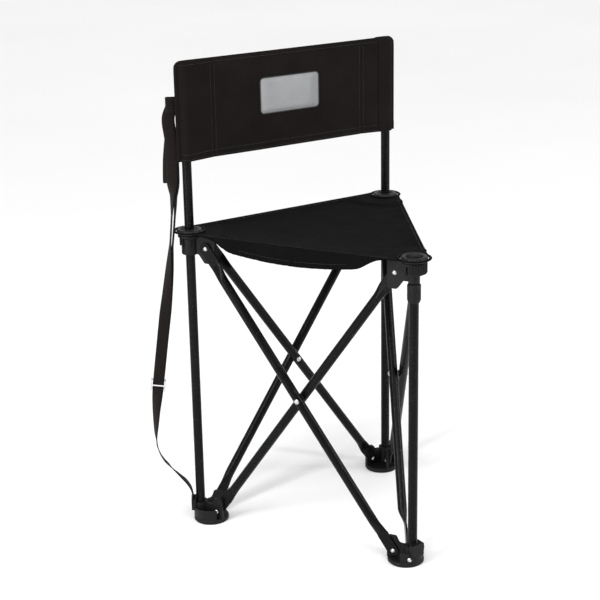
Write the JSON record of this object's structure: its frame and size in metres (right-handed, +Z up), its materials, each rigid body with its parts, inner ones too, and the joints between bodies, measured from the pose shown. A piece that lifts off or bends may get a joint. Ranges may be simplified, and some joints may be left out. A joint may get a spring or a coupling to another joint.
{
  "type": "folding three leg stool",
  "caption": "Folding three-leg stool with a slung cloth seat, a cloth back sleeve, crossed steel struts, moulded feet and a carry strap.",
  "frame": {"origin": "on the floor, at the middle of the stool's bounding box without its carry strap", "axes": "+Z up, front leg towards -Y, back legs and back sleeve towards +Y"},
  "size_m": [0.5124, 0.431, 0.828],
  "materials": {
    "powder_coat": "semi-gloss black powder coat",
    "rivet_steel": "plated steel",
    "moulded_plastic": "moulded black plastic, slightly grey",
    "ring_plastic": "glossy black plastic",
    "nylon_washer": "black nylon",
    "seat_fabric": "black coated polyester weave",
    "back_fabric": "black polyester weave, slightly warm",
    "webbing": "black-brown polypropylene webbing",
    "slider_steel": "nickel-plated steel",
    "label_fabric": "grey woven label"
  },
  "bodies": {
    "front_leg": {"foot_front": "moulded_plastic", "leg_front": "powder_coat", "leg_rivet_front": "rivet_steel", "foot_rivets_front": "rivet_steel", "guide_collar": "moulded_plastic"},
    "strut_left_front": {"strut_left_front": "powder_coat", "cross_rivet_left_front": "rivet_steel", "cross_washer_left_front": "nylon_washer"},
    "strut_front_left": {"strut_front_left": "powder_coat"},
    "left_leg": {"foot_left": "moulded_plastic", "leg_left": "powder_coat", "leg_cap_left": "moulded_plastic", "leg_rivet_left": "rivet_steel", "foot_rivets_left": "rivet_steel", "back_sleeve": "back_fabric", "back_label": "label_fabric", "carry_strap": "webbing", "strap_return": "webbing", "strap_tab": "webbing"},
    "left_hub": {"hub_left": "moulded_plastic", "hub_rivets_left": "rivet_steel", "seat_ring_left": "ring_plastic"},
    "front_hub": {"hub_front": "moulded_plastic", "hub_rivets_front": "rivet_steel", "seat_ring_front": "ring_plastic", "hub_cap_front": "moulded_plastic", "slide_rod": "powder_coat", "seat_cloth": "seat_fabric"},
    "strut_right_front": {"strut_right_front": "powder_coat", "cross_rivet_front_right": "rivet_steel", "cross_washer_front_right": "nylon_washer"},
    "strut_front_right": {"strut_front_right": "powder_coat"},
    "right_leg": {"foot_right": "moulded_plastic", "leg_right": "powder_coat", "leg_cap_right": "moulded_plastic", "leg_rivet_right": "rivet_steel", "foot_rivets_right": "rivet_steel"},
    "right_hub": {"hub_right": "moulded_plastic", "hub_rivets_right": "rivet_steel", "seat_ring_right": "ring_plastic"},
    "strut_right_left": {"strut_right_left": "powder_coat", "cross_rivet_right_left": "rivet_steel", "cross_washer_right_left": "nylon_washer"},
    "strut_left_right": {"strut_left_right": "powder_coat"},
    "seat_corner_front": {"seat_patch_front": "seat_fabric"},
    "seat_corner_left": {"seat_patch_left": "seat_fabric"},
    "seat_corner_right": {"seat_patch_right": "seat_fabric"},
    "strap_slider": {"strap_slider": "slider_steel"}
  },
  "joints": [
    {"name": "fold", "type": "hinge", "parent": "front_leg", "child": "strut_left_front", "pos_m": [-0.0165, -0.14982, 0.02], "axis": [0.866, 0.5, 0], "range_deg": [0, 32.4], "deforming": ["seat_cloth", "back_sleeve", "back_label"]},
    {"name": "cross_left_front", "type": "hinge", "parent": "strut_left_front", "child": "strut_front_left", "pos_m": [-0.103, 0, 0.266], "axis": [0.866, 0.5, 0], "range_deg": [-64.8, 0]},
    {"name": "left_foot_pivot", "type": "hinge", "parent": "strut_front_left", "child": "left_leg", "pos_m": [-0.1895, 0.14982, 0.02], "axis": [0.866, 0.5, 0], "range_deg": [0, 32.4]},
    {"name": "left_hub_pivot", "type": "hinge", "parent": "strut_left_front", "child": "left_hub", "pos_m": [-0.1895, 0.14982, 0.512], "axis": [0.866, 0.5, 0], "range_deg": [-32.4, 0]},
    {"name": "front_hub_pivot", "type": "hinge", "parent": "strut_front_left", "child": "front_hub", "pos_m": [-0.0165, -0.14982, 0.512], "axis": [0.866, 0.5, 0], "range_deg": [0, 32.4]},
    {"name": "right_strut_foot_pivot", "type": "hinge", "parent": "front_leg", "child": "strut_right_front", "pos_m": [0.0165, -0.14982, 0.02], "axis": [0.866, -0.5, 0], "range_deg": [0, 32.4]},
    {"name": "cross_front_right", "type": "hinge", "parent": "strut_right_front", "child": "strut_front_right", "pos_m": [0.103, 0, 0.266], "axis": [0.866, -0.5, 0], "range_deg": [-64.8, 0]},
    {"name": "right_foot_pivot", "type": "hinge", "parent": "strut_front_right", "child": "right_leg", "pos_m": [0.1895, 0.14982, 0.02], "axis": [0.866, -0.5, 0], "range_deg": [0, 32.4]},
    {"name": "right_hub_pivot", "type": "hinge", "parent": "strut_right_front", "child": "right_hub", "pos_m": [0.1895, 0.14982, 0.512], "axis": [0.866, -0.5, 0], "range_deg": [-32.4, 0]},
    {"name": "back_strut_foot_pivot", "type": "hinge", "parent": "left_leg", "child": "strut_right_left", "pos_m": [-0.173, 0.1784, 0.02], "axis": [0, -1, 0], "range_deg": [0, 32.4]},
    {"name": "cross_right_left", "type": "hinge", "parent": "strut_right_left", "child": "strut_left_right", "pos_m": [0, 0.1784, 0.266], "axis": [0, -1, 0], "range_deg": [-64.8, 0]},
    {"name": "seat_droop_front", "type": "hinge", "parent": "front_hub", "child": "seat_corner_front", "pos_m": [0, -0.1544, 0.5395], "axis": [-1, 0, 0], "range_deg": [0, 80], "deforming": ["seat_patch_front"]},
    {"name": "seat_droop_right", "type": "hinge", "parent": "right_hub", "child": "seat_corner_right", "pos_m": [0.18521, 0.1664, 0.5395], "axis": [0.5, -0.866, 0], "range_deg": [0, 80], "deforming": ["seat_patch_right"]},
    {"name": "seat_droop_left", "type": "hinge", "parent": "left_hub", "child": "seat_corner_left", "pos_m": [-0.18521, 0.1664, 0.5395], "axis": [0.5, 0.866, 0], "range_deg": [0, 80], "deforming": ["seat_patch_left"]},
    {"name": "strap_adjust", "type": "slide", "parent": "left_leg", "child": "strap_slider", "axis": [0.12, -0.0693, 0.9904], "range_m": [0, 0.1]}
  ],
  "couplings": [
    {"joint": "cross_left_front", "follows": "fold", "ratio": -2},
    {"joint": "left_foot_pivot", "follows": "fold", "ratio": 1},
    {"joint": "left_hub_pivot", "follows": "fold", "ratio": -1},
    {"joint": "front_hub_pivot", "follows": "fold", "ratio": 1},
    {"joint": "right_strut_foot_pivot", "follows": "fold", "ratio": 1},
    {"joint": "cross_front_right", "follows": "fold", "ratio": -2},
    {"joint": "right_foot_pivot", "follows": "fold", "ratio": 1},
    {"joint": "right_hub_pivot", "follows": "fold", "ratio": -1},
    {"joint": "back_strut_foot_pivot", "follows": "fold", "ratio": 1},
    {"joint": "cross_right_left", "follows": "fold", "ratio": -2},
    {"joint": "seat_droop_front", "follows": "fold", "ratio": 2.4691},
    {"joint": "seat_droop_right", "follows": "fold", "ratio": 2.4691},
    {"joint": "seat_droop_left", "follows": "fold", "ratio": 2.4691}
  ]
}
